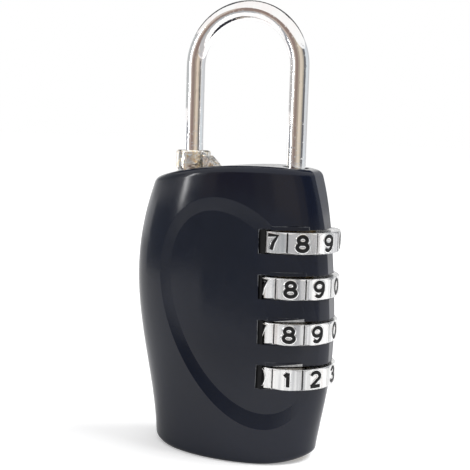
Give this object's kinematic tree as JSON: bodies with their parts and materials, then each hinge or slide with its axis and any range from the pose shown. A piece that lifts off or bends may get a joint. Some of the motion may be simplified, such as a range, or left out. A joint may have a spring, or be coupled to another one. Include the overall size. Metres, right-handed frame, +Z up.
{
  "type": "combination padlock",
  "caption": "Curved-body combination padlock with a slim round shackle that lifts, side-mounted digit dials on its long leg and a collar for the short leg.",
  "frame": {"origin": "middle of the flat underside, midway between the shackle's two legs", "axes": "+Z up along the legs, -Y the front that the digits are read from, +X the side with the dials"},
  "size_m": [0.045, 0.022, 0.0945],
  "materials": {
    "black_lacquer": "gloss",
    "polished_chrome": "polished",
    "warm_plating": "polished",
    "dial_chrome": "polished",
    "cam_brass": "machined",
    "spring_steel": "drawn"
  },
  "bodies": {
    "housing": {"housing": "black_lacquer", "toe_collar": "warm_plating", "bottom_plug": "cam_brass", "plug_pin": "spring_steel", "upper_thrust_washer": "spring_steel", "lower_thrust_washer": "spring_steel", "click_spring_1": "spring_steel", "click_spring_2": "spring_steel", "click_spring_3": "spring_steel", "click_spring_4": "spring_steel", "shackle_spring": "spring_steel"},
    "shackle": {"shackle": "polished_chrome", "retaining_clip": "spring_steel"},
    "dial_1": {"dial_wheel_1": "dial_chrome", "code_cam_1": "cam_brass"},
    "dial_2": {"dial_wheel_2": "dial_chrome", "code_cam_2": "cam_brass"},
    "dial_3": {"dial_wheel_3": "dial_chrome", "code_cam_3": "cam_brass"},
    "dial_4": {"dial_wheel_4": "dial_chrome", "code_cam_4": "cam_brass"}
  },
  "joints": [
    {"name": "shackle_lift", "type": "slide", "parent": "housing", "child": "shackle", "axis": [0, 0, 1], "range_m": [0, 0.00917], "deforming": ["shackle_spring"]},
    {"name": "dial_1_turn", "type": "hinge", "parent": "housing", "child": "dial_1", "pos_m": [0.01155, 0, 0.04615], "axis": [0, 0, 1], "continuous": true},
    {"name": "dial_2_turn", "type": "hinge", "parent": "housing", "child": "dial_2", "pos_m": [0.01155, 0, 0.03698], "axis": [0, 0, 1], "continuous": true},
    {"name": "dial_3_turn", "type": "hinge", "parent": "housing", "child": "dial_3", "pos_m": [0.01155, 0, 0.02781], "axis": [0, 0, 1], "continuous": true},
    {"name": "dial_4_turn", "type": "hinge", "parent": "housing", "child": "dial_4", "pos_m": [0.01155, 0, 0.01864], "axis": [0, 0, 1], "continuous": true}
  ]
}
